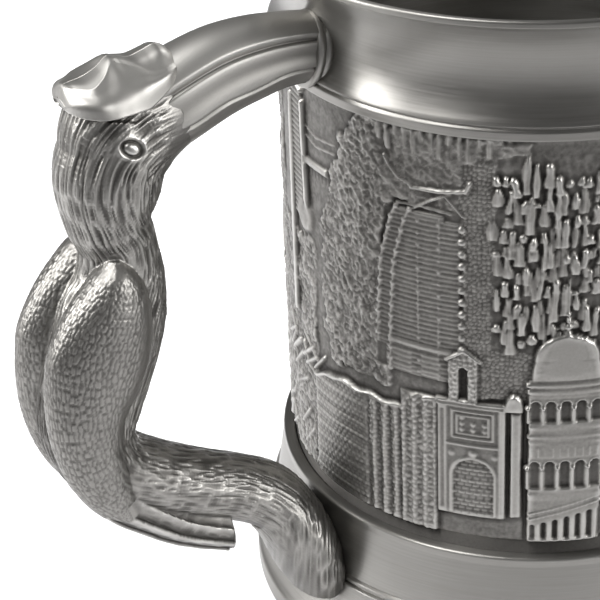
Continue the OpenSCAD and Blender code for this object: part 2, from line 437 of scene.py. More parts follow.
def gridCells(x, y, seed, wrap=211):
    spots = np.random.default_rng(seed).uniform(0.1, 0.9, (197, wrap, 2))
    xi, yi = np.floor(x).astype(int), np.floor(y).astype(int)
    first = np.full(x.shape, 9.0)
    second = np.full(x.shape, 9.0)
    for i in (-1, 0, 1):
        for j in (-1, 0, 1):
            spot = spots[(yi + j) % 197, (xi + i) % wrap]
            far = np.hypot(xi + i + spot[..., 0] - x, yi + j + spot[..., 1] - y)
            second = np.minimum(second, np.maximum(first, far))
            first = np.minimum(first, far)
    return first, second


def cloudNoise(u, z, size, seed, stretch=1.0):
    cols = max(3, round(around / size))          # a whole number of cells, so that it meets itself
    return gridNoise((u / around + 0.5) * cols, z / (size * stretch), seed, cols)


def cellNoise(u, z, size, seed, stretch=1.0):
    cols = max(3, round(around / size))
    return gridCells((u / around + 0.5) * cols, z / (size * stretch), seed, cols)


def area(u0, u1, z0, z1):
    cols = slice(*np.searchsorted(uLine, (u0, u1)))
    levels = slice(*np.searchsorted(zLine, (z0, z1)))
    return height[levels, cols], uAll[levels, cols], zAll[levels, cols]


def put(field, inside, level, bevel=0.3):
    share = softStep(inside / bevel)
    field[...] = field * (1 - share) + level * share


def lift(field, inside, level, bevel=0.3):
    share = softStep(inside / bevel)
    field[...] = np.maximum(field, level * share)


def inBox(u, z, u0, u1, z0, z1):
    return np.minimum(np.minimum(u - u0, u1 - u), np.minimum(z - z0, z1 - z))


def inStroke(u, z, a, b, half):
    along = np.array(b) - np.array(a)
    t = np.clip(((u - a[0]) * along[0] + (z - a[1]) * along[1]) / (along @ along), 0, 1)
    return half - np.hypot(u - a[0] - t * along[0], z - a[1] - t * along[1])


def inArch(u, z, middle, half, z0, spring):
    side = np.where(z > spring, half - np.hypot(u - middle, z - spring), half - abs(u - middle))
    return np.minimum(side, z - z0)


def block(u0, u1, z0, z1, level, bevel=0.3):
    field, u, z = area(u0 - 0.5, u1 + 0.5, z0 - 0.5, z1 + 0.5)
    put(field, inBox(u, z, u0, u1, z0, z1), level, bevel)


def stroke(a, b, half, level, bevel=0.25):
    reach = half + 0.3
    field, u, z = area(min(a[0], b[0]) - reach, max(a[0], b[0]) + reach,
                       min(a[1], b[1]) - reach, max(a[1], b[1]) + reach)
    lift(field, inStroke(u, z, a, b, half), level, bevel)


def path(points, half, level, bevel=0.25):
    for a, b in zip(points, points[1:]):
        stroke(a, b, half, level, bevel)


def bead(u0, z0, radius, level):
    field, u, z = area(u0 - radius, u0 + radius, z0 - radius, z0 + radius)
    dome = 1 - ((u - u0) ** 2 + (z - z0) ** 2) / radius ** 2
    field[...] = np.where(dome > 0, np.maximum(field, level - 0.35 * (1 - np.sqrt(np.clip(dome, 0, 1)))),
                          field)


def ground():
    field, u, z = height, uAll, zAll
    field[...] = 0.16 + 0.1 * cloudNoise(u, z, 7, 1) + 0.04 * cloudNoise(u, z, 1.6, 2)
    field += 0.03 * cloudNoise(u, z, 0.5, 3)


def foliage(u0, u1, z0, z1, seed, left=None, rich=1.0):
    field, u, z = area(u0 - 2, u1 + 2, z0 - 2, z1 + 2)
    ragged = 0.9 * cloudNoise(u, z, 2.2, seed) + 0.5 * cloudNoise(u, z, 0.8, seed + 1)
    start = u0 if left is None else np.interp(z, *left)
    inside = np.minimum(np.minimum(u - start, u1 - u), np.minimum(z - z0, z1 - z)) + ragged
    near, far = cellNoise(u + 0.4 * cloudNoise(u, z, 1.2, seed + 2), z, 1.15, seed + 3)
    leaves = softStep((far - near) * 2.2) * (1 - 0.5 * near)
    curl = 1 - 2.6 * np.minimum(abs(cloudNoise(u + near, z - near, 0.9, seed + 7)), 0.38)   # curly edges
    fineNear, fineFar = cellNoise(u, z, 0.65, seed + 4, 1.2)
    fine = softStep((fineFar - fineNear) * 2)
    clump = cloudNoise(u, z, 4.5, seed + 5) + 0.6 * cloudNoise(u, z, 2, seed + 6)
    level = 0.3 + 0.2 * clump + rich * (0.1 * leaves + 0.24 * curl + 0.06 * fine)
    put(field, inside, level, 0.5)


def stipple(u0, u1, z0, z1, seed, level=0.3):
    field, u, z = area(u0 - 1, u1 + 1, z0 - 1, z1 + 1)
    inside = inBox(u, z, u0, u1, z0, z1) + 0.8 * cloudNoise(u, z, 2, seed)
    near, far = cellNoise(u, z, 0.75, seed + 1)
    rough = softStep((far - near) * 2.2)
    put(field, inside, level + 0.2 * rough + 0.1 * cloudNoise(u, z, 2.6, seed + 2), 0.8)


def rock(middle, z0, z1, half, level, seed):
    field, u, z = area(middle - half - 0.6, middle + half + 0.6, z0 - 0.5, z1 + 0.3)
    rise = np.clip((z - z0) / (z1 - z0), 0, 1)
    lean = 0.35 * cloudNoise(u, z, 3.5, seed)
    wide = half * np.sqrt(np.clip(1 - rise ** 3, 0.02, 1)) * (0.85 + 0.15 * np.sin(rise * 9 + middle))
    across = (u - middle - lean) / wide
    dome = np.sqrt(np.clip(1 - across ** 2, 0, 1))
    flute = 0.07 * np.cos(across * 7 + seed) + 0.06 * cloudNoise(u, z, 0.9, seed + 1, 2)
    top = np.where((abs(across) < 1) & (z > z0) & (z < z1), level * (0.35 + 0.65 * dome) + flute, 0)
    fade = softStep((z - z0) / 0.8) * softStep((z1 - z) / 0.25)
    field[...] = np.maximum(field, top * fade)


# Limestone pinnacles: crowded upright domes, taller and thicker towards the front of each row
def pinnacles(u0, u1, z0, z1, seed, crowd=1.0):
    draw = np.random.default_rng(seed)
    field, u, z = area(u0, u1, z0, z1)
    put(field, inBox(u, z, u0, u1, z0, z1) + 1.2 * cloudNoise(u, z, 2.5, seed), 0.16
        + 0.14 * softStep(cellNoise(u, z, 1.1, seed, 1.8)[0]), 0.8)
    for base in np.arange(z1 - 6.5, z0 - 0.5, -3.1):
        place = u0 + draw.uniform(0.3, 2.6)
        while place < u1 - draw.uniform(0.6, 2.6):
            tall = draw.uniform(2.8, 6.4) * (0.8 + 0.3 * np.sin(place * 0.55 + base))
            half = draw.uniform(0.55, 1.15)
            rock(place, base + draw.uniform(-1.3, 1), base + tall, half, draw.uniform(0.62, 1.0),
                 int(draw.integers(1, 900)))
            place += half * draw.uniform(1.3, 2.2) / crowd


def masonry(u, z, wide, high, seed, deep=0.14):
    course = np.floor(z / high)
    shift = (course % 2) * 0.5 + 0.1 * np.sin(course * 5)
    x = (u / wide + shift) % 1
    y = (z / high) % 1
    joint = np.minimum(np.minimum(x, 1 - x) * wide, np.minimum(y, 1 - y) * high)
    stone = np.floor(u / wide + shift) * 7.3 + course * 3.1
    return deep * softStep(joint / 0.26) + 0.06 * np.sin(stone * 12.9 + seed)


def arcade(u0, u1, z0, z1, pitch, level, deep=0.55, thick=0.26):
    count = round((u1 - u0) / pitch)
    field, u, z = area(u0, u1, z0, z1)
    put(field, inBox(u, z, u0, u1, z0, z1), level - 0.18, 0.2)
    half = (u1 - u0) / count / 2
    spring = z1 - half - 0.25
    for i in range(count):
        middle = u0 + (2 * i + 1) * half
        field, u, z = area(middle - half - 0.2, middle + half + 0.2, z0, z1)
        hoop = thick - abs(np.hypot(u - middle, z - spring) - (half - thick))
        hoop = np.where(z > spring - 0.45, hoop, -1)
        leg = np.where(z <= spring - 0.1, 0.3 - abs(abs(u - middle) - half), -1)
        put(field, inArch(u, z, middle, half - 0.34, z0 + 0.1, spring), level - deep, 0.22)
        lift(field, np.maximum(hoop, leg), level + 0.12, 0.2)
        bead(middle - half, spring - 0.5, 0.42, level + 0.3)


def cornice(u0, u1, z0, z1, level, steps=2):
    deep = (z1 - z0) / steps
    for k in range(steps):
        grow = 0.18 * k
        block(u0 - grow, u1 + grow, z0 + k * deep, z0 + (k + 0.82) * deep, level + 0.06 * k, 0.22)


def tower(middle, half, z0, z1, level):
    field, u, z = area(middle - half - 0.4, middle + half + 0.4, z0, z1)
    bulge = 0.22 * np.sqrt(np.clip(1 - ((u - middle) / half) ** 2, 0, 1))
    put(field, inBox(u, z, middle - half, middle + half, z0 - 1, z1 + 1), level - 0.15 + bulge, 0.35)


def dome(middle, half, z0, z1, level, ribs=11):
    field, u, z = area(middle - half - 0.5, middle + half + 0.5, z0, z1 + 0.5)
    rise = np.clip((z - z0) / (z1 - z0), 0, 1)
    wide = half * np.sqrt(np.clip(1 - rise ** 2.2, 1e-3, 1))
    across = np.clip((u - middle) / wide, -1.2, 1.2)
    swell = 0.3 * np.sqrt(np.clip(1 - across ** 2, 0, 1))
    rib = 0.1 * abs(np.cos(np.arcsin(np.clip(across, -1, 1)) * ribs / 2)) * softStep(rise * 6)
    put(field, (1 - abs(across)) * wide, level - 0.15 + swell + rib, 0.3)


def finial(middle, z0, z1, level):
    stroke((middle, z0), (middle, z1), 0.28, level - 0.1, 0.2)
    for k in range(4):
        bead(middle, z0 + 0.4 + 1.15 * k, 0.62 - 0.09 * k, level + 0.1)


# Domed arcaded tower, with a sloping rail and stairs at its foot
def domedTower(at, base=30.5, half=6.2):
    left, right = at - half, at + half
    tower(at, half, base, 62, 0.85)
    dome(at, half - 0.5, 62.2, 70.2, 1.0, 1)
    dome(at, half - 0.9, 65.6, 70.4, 1.05, 15)
    finial(at, 70.2, 80, 0.95)
    cornice(left - 0.2, right + 0.2, 59.4, 61.9, 1.0, 2)
    arcade(left, right, 54, 58.8, 2.35, 0.95)
    cornice(left, right, 52.6, 53.8, 0.95, 1)
    cornice(left, right, 49.8, 52, 0.9, 2)
    for k in range(round(2 * half / 1.2)):
        stroke((left + 0.6 + 1.2 * k, 47.6), (left + 0.6 + 1.2 * k, 49.3), 0.26, 1.02, 0.2)
    arcade(left, right, 41.2, 47.3, 2.35, 0.95)
    cornice(left, right, 38.9, 40.8, 0.95, 1)
    for k in range(2):
        rail = 36.2 + 0.27 * np.array([0, 2 * half]) - 1.1 * k
        stroke((left + 0.3, rail[0]), (right - 0.2, rail[1]), 0.34, 1.05, 0.22)
    for k in range(round(2 * half / 1.9)):
        middle = left + 1 + 1.9 * k
        field, u, z = area(middle - 0.8, middle + 0.8, base, 38)
        top = 34 + 0.27 * (middle - left)
        put(field, inArch(u, z, middle, 0.55, base + 0.6, top - 0.7), 0.4, 0.25)
        stroke((middle + 0.95, base + 0.5), (middle + 0.95, top), 0.27, 1.05, 0.22)


# Fortress gate with its flanking pilasters, panel and arched door
def gate(at, base=34.5):
    left, right = at - 6.3, at + 5.5
    block(left, right, base, 57, 0.72, 0.35)
    for u0, u1 in ((left + 0.2, left + 2), (right - 1.4, right - 0.1)):
        block(u0, u1, base + 0.4, 56.2, 0.98, 0.25)
        block(u0 + 0.5, u1 - 0.45, base + 1.5, 55.4, 0.76, 0.2)
    cornice(left, right, 55.9, 57.3, 1.0, 2)
    cornice(left + 1.6, right - 1.2, 48.4, 49.4, 1.0, 1)
    for inset in (0, 0.75):
        block(at - 3.8 + inset, at + 3.6 - inset, 49.9 + inset, 55.5 - inset, 0.98 - 0.06 * inset, 0.2)
        block(at - 3.4 + inset, at + 3.2 - inset, 50.3 + inset, 55.1 - inset, 0.64, 0.2)
    for k in range(7):
        bead(at - 1.9 + 1.9 * (k % 3), 51.8 + 1.1 * (k // 3), 0.5, 0.95)
    field, u, z = area(at - 5, at + 5, base, 49)
    put(field, inArch(u, z, at, 4.1, base + 0.6, 42.8), 0.95, 0.25)
    put(field, inArch(u, z, at, 3.55, base + 0.6, 42.6), 0.5 + masonry(u, z, 1.3, 0.78, 2, 0.2), 0.25)
    bead(at, 47.3, 0.75, 1.1)
    for side in (-1, 1):
        field, u, z = area(at - 5, at + 5, 43, 49)
        put(field, 0.8 - np.hypot(u - at - side * 3.6, z - 46.9), 0.92, 0.5)


def fortWall(u0, u1, z1, seed, columnsFrom=None):
    field, u, z = area(u0, u1, sheet["bottom"], z1 + 2)
    top = z1 - 2.4 * softStep((u0 + 8 - u) / 8) + 0.25 * np.sin(u * 1.1)
    inside = np.minimum(np.minimum(u - u0, u1 - u), top - z)
    stones = masonry(u + 0.25 * cloudNoise(u, z, 2, seed), z, 1.1, 0.82, seed)
    base = 0.66 + 0.1 * cloudNoise(u, z, 5, seed)
    if columnsFrom is not None:
        near, far = cellNoise(u, z, 0.95, seed + 4, 0.9)
        pebble = softStep((far - near) * 1.8)
        flute = 0.17 * np.cos(tau * (u - columnsFrom) / 2.3)
        strong = softStep((u - columnsFrom) / 2)
        stones = stones * (1 - strong) + strong * (0.22 * pebble + flute)
    put(field, inside, base + stones, 0.35)
    coping = 0.55 - abs(z - top + 0.3)
    put(field, np.minimum(coping, np.minimum(u - u0, u1 - u)), 1.05, 0.35)


# Ruined bell arch on the wall behind the gate
def bellArch(at):
    field, u, z = area(at - 4, at + 4, 56, 67.5)
    slope = 66.4 - 0.75 * abs(u - at)
    inside = np.minimum(np.minimum(u - at + 2.9, at + 2.3 - u), np.minimum(z - 56.8, slope - z))
    near, far = cellNoise(u, z, 0.9, 77)
    put(field, inside, 0.75 + 0.28 * softStep((far - near) * 1.8), 0.35)
    put(field, inArch(u, z, at - 0.25, 0.85, 57.2, 62.6), 0.12, 0.3)
    path([(at - 3.1, 64.5), (at, 66.6), (at + 2.6, 64.7)], 0.42, 1.08)


# Long bamboo house under the cave: planked wall in posts, sagging roof ridge and rafters
def longhouse():
    field, u, z = area(19, 37.5, 59.5, 97.5)
    left = np.interp(z, [60, 70, 80, 88, 92], [20, 20.3, 21, 23, 25])
    right = np.full(u.shape, 35.6)
    inside = np.minimum(np.minimum(u - left, right - u), np.minimum(z - 59.8, 90 - 0.9 * (u > 33) - z))
    plank = 0.2 * abs(np.sin(np.pi * z / 0.85)) + 0.04 * cloudNoise(u, z, 1.5, 20, 0.4)
    put(field, inside, 0.34 + plank, 0.3)
    for shift in (0.5, 3.0):
        line = [(np.interp(level, [60, 70, 80, 88, 92], [20, 20.3, 21, 23, 25]) + shift, level)
                for level in np.arange(60, 90.5, 2)]
        path(line, 0.34, 0.72)
        for u0, z0 in line:
            bead(u0, z0, 0.48, 0.82)
    for post in (28.4, 32.0):
        path([(post - 0.15, 60), (post, 75), (post + 0.1, 89.5)], 0.24, 0.64)
        for z0 in np.arange(61, 89, 2.1):
            bead(post, z0, 0.36, 0.72)
    for z0 in np.arange(66.5, 90, 2.15):
        bead(35.8, z0, 0.62, 0.9)
        path([(35.7, z0), (36.4, z0 - 0.7)], 0.24, 0.8)
    block(22.6, 34.4, 65, 66.3, 0.74)
    block(20.2, 22.4, 60, 64.4, 0.3)
    for u0, u1 in ((23.3, 27.2), (28.7, 32.1)):
        field, u, z = area(u0, u1, 60.2, 64.8)
        put(field, inBox(u, z, u0, u1, 60.2, 64.8), 0.46 + 0.16 * abs(np.sin(np.pi * z / 0.95)), 0.25)
    path([(22.4, 98.2), (23.4, 96.7), (25.2, 95), (27.4, 94.2)], 0.36, 0.75)
    path([(27.4, 93.9), (32, 94), (36.4, 94.6), (37.2, 96.2)], 0.42, 0.8)
    path([(33, 93.4), (30, 91.8), (27.6, 90.2)], 0.3, 0.72)
    path([(33, 93.4), (34.8, 91.6), (36, 90.2)], 0.3, 0.72)
    path([(24.6, 90.6), (29, 90.9), (34, 90.4)], 0.3, 0.7)


# Bridge mast with stacked webs, its deck and hangers
def bridge(at):
    path([(at - 3.2, 60), (at - 3, 80), (at - 2.4, 100)], 0.75, 1.0)
    path([(at + 2.6, 78), (at + 1.9, 100)], 0.7, 0.9)
    field, u, z = area(at - 2.6, at + 2.1, 78, 103.4)
    put(field, inBox(u, z, at - 2.4, at + 1.7, 78.5, 102.6), 0.42 + 0.26 * abs(np.sin(np.pi * z / 0.95)), 0.4)
    path([(at - 2, 102), (at, 103), (at + 1.8, 102)], 0.55, 0.95)
    block(at + 2, at + 9.6, 89.4, 91, 0.6)
    for k in range(7):
        block(at + 3.2 + 1.05 * k, at + 3.7 + 1.05 * k, 87.9, 89.5, 0.06, 0.2)
    for drop in (0, 1.6):
        path([(at + 2.4, 96.4 - drop), (at + 6, 95.4 - drop), (at + 11.5, 96 - drop)], 0.3, 0.42)


# Broad leaves or ribbons that sweep up from the ground, each with a midrib
def fronds(u0, u1, z0, z1, seed, slope=1.2):
    draw = np.random.default_rng(seed)
    for _ in range(int((u1 - u0) * (z1 - z0) / 26)):
        a = np.array([draw.uniform(u0, u1), draw.uniform(z0, z1 - 5)])
        lean = slope * draw.uniform(0.6, 1.2)
        b = a + np.array([draw.uniform(2, 4.5) * np.sign(draw.uniform(-0.3, 1)), 3.4 * lean])
        half = draw.uniform(0.8, 1.4)
        level = draw.uniform(0.65, 0.9)
        stroke(tuple(a), tuple(b), half, level, half)
        stroke(tuple(a), tuple(b + 0.2), 0.22, level + 0.1, 0.15)


def palm(at, base, top, seed):
    draw = np.random.default_rng(seed)
    trunk = [(at + 0.5 * np.sin((z - base) * 0.25 + seed), z) for z in np.linspace(base, top, 9)]
    path(trunk, 0.48, 0.78)
    for u0, z0 in trunk[::2]:
        bead(u0, z0, 0.6, 0.85)
    crown = trunk[-1]
    for k in range(9):
        turn = np.pi * (k / 8 * 1.35 - 0.18)
        long = draw.uniform(4.2, 5.6)
        tip = [(crown[0] + long * t * np.cos(turn), crown[1] + long * (t * np.sin(turn) - 0.75 * t * t))
               for t in (0, 0.35, 0.7, 1)]
        path(tip, 0.36, 1.0)
        for t in (0.35, 0.55, 0.75):
            u0 = crown[0] + long * t * np.cos(turn)
            z0 = crown[1] + long * (t * np.sin(turn) - 0.75 * t * t)
            stroke((u0, z0), (u0 + 0.4 * np.cos(turn), z0 - 1.3), 0.2, 0.75, 0.15)


# Stepped timber pavilion with upturned eaves, a generic one
def pavilion(at, base, tiers):
    half, z = 7.5, base
    for _ in range(tiers):
        tall = 3.2 + 0.28 * half
        block(at - half * 0.72, at + half * 0.72, z, z + tall, 0.62)
        arcade(at - half * 0.66, at + half * 0.66, z + 0.3, z + tall - 0.4, 2.1, 0.8, 0.45)
        eave = z + tall
        for k in range(5):
            share = 1 - 0.13 * k
            rise = eave + 0.75 * k
            tip, inner = half * share + 0.6, half * share * 0.7
            path([(at - tip, rise + 0.5), (at - inner, rise), (at + inner, rise), (at + tip, rise + 0.5)],
                 0.4, 1.0 - 0.02 * k)
        z = eave + 3.6
        half *= 0.68
    finial(at, z - 0.6, z + 4.5, 0.9)


def waves(u0, u1, z0, z1, seed):
    field, u, z = area(u0, u1, z0, z1)
    swell = z + 0.55 * np.sin(u * 0.9 + seed) + 0.3 * cloudNoise(u, z, 3, seed)
    crest = abs(((swell / 1.9) % 1) - 0.5) * 2
    ragged = inBox(u, z, u0, u1, z0, z1) + 0.6 * cloudNoise(u, z, 2, seed + 1)
    put(field, ragged, 0.3 + 0.35 * crest ** 1.6, 0.8)


def boat(at, z0, long):
    hull = [(at + long * x, z0 + 2.6 * (2 * x) ** 4) for x in np.linspace(-0.5, 0.5, 9)]
    for k in range(3):
        path([(u0, z1 + 0.75 * k) for u0, z1 in hull], 0.5, 0.9 + 0.08 * k)
    stroke((at, z0 + 1.5), (at, z0 + 13), 0.3, 0.85)
    for k in range(7):
        z = z0 + 3.6 + 1.2 * k
        wide = 3.8 * (1 - 0.12 * k)
        path([(at - 0.3, z), (at - wide, z + 0.4)], 0.5, 0.75)
        path([(at + 0.3, z + 0.3), (at + 0.8 * wide, z + 0.1)], 0.5, 0.72)


def carveFront():
    foliage(-16, 5, 31, 76, 9)
    bridge(0)
    field, u, z = area(-4, 6, 74, 86)
    put(field, 3.3 - np.hypot(u - 1.5, (z - 79.5) * 0.9), 0.7 + 0.1 * cloudNoise(u, z, 1.5, 31), 1.6)
    fronds(-14, 5.5, 31, 60, 5)
    foliage(7, 22.6, 56, 103.9, 41, left=([56, 60, 70, 80, 88, 98, 104], [9, 7, 6.5, 6.5, 9.5, 12.5, 17]))
    foliage(21, 47, 90.5, 103.9, 61, rich=0.6)
    stipple(35, 48, 57.5, 100, 71, 0.26)
    for k in range(13):
        place = 21.5 + 1.55 * k
        rock(place, 103.6 - 3.4 - 1.5 * np.sin(k * 2.1), 104.2, 0.7, 0.62, 80 + k)
    longhouse()
    pinnacles(40.5, 63, 67, 101.5, 91)
    block(24.6, 31.7, 52, 56.8, 0.6, 0.5)
    fortWall(3.5, 31.6, 53.4, 51, columnsFrom=17)
    field, u, z = area(24, 32, 30.5, 58)
    near, far = cellNoise(u, z, 1.0, 55)
    put(field, np.minimum(3.6 - np.hypot(np.minimum(u - 28.4, 0), np.maximum(z - 53.4, 0)), 31.8 - u),
        0.82 + 0.24 * softStep((far - near) * 1.8) + 0.12 * np.cos(tau * (u - 25.4) / 2.1), 0.6)
    gate(37.8)
    bellArch(36.3)
    block(43.6, 45.9, 35, 56, 0.8, 0.5)
    stroke((44.2, 35.5), (44.2, 55.6), 0.3, 1.0)
    dome(44.4, 1.7, 56, 59.2, 0.95, 4)
    block(45.95, 46.8, 30.5, 57.5, -0.05, 0.3)
    domedTower(52.8)


def carveRest():
    foliage(59.5, 72, 60, 103.9, 141)
    palm(64, 46, 88, 3)
    palm(70, 40, 78, 4)
    fronds(60, 78, 31, 52, 15)
    stipple(60, 96, 88, 103, 171, 0.2)
    pavilion(84, 34, 3)
    fortWall(73, 78.5, 47, 151)
    foliage(94, 112, 31, 66, 241)
    domedTower(103, 44, 5.2)
    pinnacles(111, 133.5, 55, 101, 191)
    waves(106, 134.5, 30.5, 50, 17)
    boat(120, 44, 15)
    waves(-134.5, -98, 30.5, 47, 18)
    foliage(-134, -120, 52, 103.5, 341)
    palm(-126, 44, 90, 7)
    boat(-111, 41, 13)
    pinnacles(-118, -98, 66, 101.5, 291)
    pavilion(-86, 36, 3)
    foliage(-98, -92, 31, 80, 441)
    foliage(-79, -64, 31, 103.9, 541)
    fortWall(-66, -46, 52, 251, columnsFrom=-58)
    gate(-40)
    domedTower(-24.5, 30.5, 6.2)
    stipple(-62, -34, 58, 100, 271, 0.25)
    palm(-53, 52, 90, 8)
    palm(-45, 58, 84, 9)
    foliage(-19, -10, 62, 103.9, 641)
    fronds(-20, -12, 31, 62, 25)


def boxBlur(field, reach):
    for axis in (0, 1):
        if axis:
            padded = np.concatenate([field[:, -reach:], field, field[:, :reach]], axis=1)
        else:
            padded = np.concatenate([field[:1]] * reach + [field] + [field[-1:]] * reach, axis=0)
        total = np.cumsum(padded, axis=axis)
        total = np.insert(total, 0, 0, axis=axis)
        size = 2 * reach + 1
        field = np.take(total, range(size, total.shape[axis]), axis) - np.take(
            total, range(total.shape[axis] - size), axis)
        field = field / size
    return field


def makeSleeve():
    ground()
    carveFront()
    carveRest()
    carved = 0.6 * height + 0.4 * boxBlur(height, 1)      # casting softens every edge a little
    carved += 0.02 * cloudNoise(uAll, zAll, 0.4, 5)
    edge = softStep((zAll - sheet["bottom"]) / 0.5 + 0.5) * softStep((collarLow.z - 0.15 - zAll) / 0.4 + 0.3)
    carved = np.clip(carved, -0.05, sheet["depth"]) * edge
    worn = 0.5 + 1.2 * (carved - boxBlur(carved, 5)) + 0.25 * (carved - 0.5)
    worn += 0.5 * (carved - boxBlur(carved, 2))
    radius = sheet["groundR"] + carved
    turn = np.pi + (uAll + sheet["turned"]) / drumR
    points = np.stack([radius * np.cos(turn), radius * np.sin(turn), zAll], axis=-1)
    tongueR = drumR - collar["tongueInset"]
    rings = []
    for r, z in ((tongueR, sleeveHigh.z), (linerR + 0.9, sleeveHigh.z), (linerR + 0.9, sleeveLow.z),
                 (tongueR, sleeveLow.z)):
        rings.append(np.stack([r * np.cos(turn[0]), r * np.sin(turn[0]), z + 0 * turn[0]], axis=-1))
    points = np.concatenate([points, np.array(rings)])
    index = np.arange(len(points) * columns).reshape(-1, columns)
    side, ahead = np.roll(index, -1, axis=1), np.roll(index, -1, axis=0)
    faces = np.stack([index, side, np.roll(ahead, -1, axis=1), ahead], axis=-1).reshape(-1, 4)
    worn = np.concatenate([worn, np.full((4, columns), 0.2)])
    return addPiece("reliefSleeve", points.reshape(-1, 3), [faces], "relief",
                    ["relief_sleeve"], worn=np.clip(worn, 0, 1))


print("relief sleeve")
makeSleeve()


# Handle: places are (out, up, half depth, half width): out from the drum's side, up from the band's
# foot, depth in the handle's own upright plane, and width across it
handle = {
    "beak": [(-2.4, 94.2, 5.6, 4.6), (4, 95.2, 5.9, 5), (10, 95.3, 6.7, 5.5), (16.5, 94.6, 7.3, 6),
             (24, 92.4, 7.6, 6.5), (29, 90.4, 7.4, 6.3)],
    "body": [(24.6, 92.2, 7.2, 6.1), (30, 90, 8.2, 7.2), (34.2, 86.5, 8.6, 7.8), (35.6, 81.5, 8.2, 7.8),
             (36, 76.5, 6.7, 7), (34.9, 71.5, 6, 6.4), (35, 66, 7.2, 6.4), (36.5, 60.5, 8.8, 6.8),
             (38.6, 54.5, 9.1, 7.2), (41.2, 47.8, 8.8, 7.6), (42.8, 42, 7.9, 8), (42.4, 37.5, 7, 7.8),
             (39.8, 32.4, 6.6, 7.4), (33.5, 27.6, 6.3, 6.8), (25.5, 23, 5.9, 6.3), (17.6, 19, 5.6, 6.2),
             (11.4, 14.8, 5.6, 7.4), (8, 9.8, 5.8, 9.6), (5.8, 4.5, 5.6, 11), (4.4, -0.5, 5.2, 10.8),
             (3.2, -4.7, 4.4, 8.8)],
    "skull": [(34.6, 86, 7.8, 7.4), (34.4, 90, 7.8, 7.2), (33.6, 94, 7.2, 6.4)],
    "wing": [(38, 72, 0.8, 1), (38.1, 69.6, 3.2, 3.4), (38.8, 65.6, 5.8, 4.6), (40.4, 60.5, 7.8, 5),
             (42.4, 55, 8.6, 5),
             (44.2, 50, 7.5, 4.8), (45.2, 45, 6.3, 4.5), (44.8, 39.5, 5.6, 4), (43.4, 34, 4.8, 3.4),
             (41, 28, 3.4, 2.4)],
    "tail": [(42.6, 33, 5, 6), (39.5, 27.5, 5, 6.4), (34.5, 22.6, 4.8, 6.3), (28, 17.4, 4.6, 6.1),
             (19.4, 12.6, 4.4, 5.9)],
    "wingOut": 5.4,      # each wing's middle, out from the handle's upright plane
    "tailCut": 20.8,       # where the tail ends, square
    "inset": 41.7,       # the ends stop at this radius, inside the collar's and the band's wall
}


def smoothPath(stations, step=0.5):
    s = np.array(stations, dtype=float)
    s = np.vstack([2 * s[0] - s[1], s, 2 * s[-1] - s[-2]])
    line = []
    for a, b, c, d in zip(s, s[1:], s[2:], s[3:]):
        for t in np.arange(0, 1, step / np.linalg.norm(c[:2] - b[:2])):
            line.append(0.5 * (2 * b + (c - a) * t + (2 * a - 5 * b + 4 * c - d) * t ** 2
                               + (3 * b - a - 3 * c + d) * t ** 3))
    line = np.array(line + [s[-2]])
    gaps = np.linalg.norm(np.diff(line[:, :2], axis=0), axis=1)
    return line[np.concatenate([[True], gaps > 0.3 * step])]    # no two rings on top of each other


def spine(stations, side=0.0, step=0.5):
    line = smoothPath(stations, step)
    middle = np.stack([-(drumR + line[:, 0]), line[:, 1] + bandLow.z], axis=-1)
    ahead = np.gradient(middle, axis=0)
    ahead /= np.linalg.norm(ahead, axis=1)[:, None]
    outward = np.stack([ahead[:, 1], -ahead[:, 0]], axis=-1)   # up on the beak, outward on the back
    if outward[0, 1] < 0 or (abs(outward[0, 1]) < 0.3 and outward[0, 0] > 0):
        outward = -outward
    run = np.concatenate([[0], np.cumsum(np.linalg.norm(np.diff(middle, axis=0), axis=1))])
    return {"middle": middle, "outward": outward, "deep": line[:, 2], "wide": line[:, 3],
            "run": run, "side": side}


def tube(line, shape=None, segments=96, ends=6):
    turn = np.linspace(0, tau, segments, endpoint=False)
    along = line["middle"][:, None, :] + (line["outward"] * line["deep"][:, None])[:, None, :] * \
        np.cos(turn)[None, :, None]
    x, z = along[..., 0], along[..., 1]
    y = line["side"] + line["wide"][:, None] * np.sin(turn)[None, :]
    points = np.stack([x, y, z], axis=-1)
    if shape is not None:
        centre = np.stack([line["middle"][:, 0], 0 * line["run"] + line["side"], line["middle"][:, 1]], -1)
        spoke = points - centre[:, None, :]
        size = np.linalg.norm(spoke, axis=-1)
        extra = shape(line["run"][:, None] + 0 * turn, turn[None, :] + 0 * line["run"][:, None])
        points = points + spoke / size[..., None] * extra[..., None]
    rings = [points]
    for edge, first in ((points[0], True), (points[-1], False)):
        middle = edge.mean(axis=0)
        caps = [middle + (edge - middle) * share for share in np.linspace(1, 0.02, ends)[1:]]
        if first:
            rings.insert(0, np.array(caps[::-1]))
        else:
            rings.append(np.array(caps))
    points = np.concatenate(rings)
    index = np.arange(points.shape[0] * segments).reshape(-1, segments)
    side = np.roll(index, -1, axis=1)
    faces = np.stack([index[:-1], side[:-1], side[1:], index[1:]], axis=-1).reshape(-1, 4)
    return points.reshape(-1, 3), [faces, index[:1], index[-1:]]


def seat(points, radius=handle["inset"]):
    far = np.hypot(points[:, 0], points[:, 1])
    points[:, :2] *= (np.maximum(far, radius) / far)[:, None]
    return points


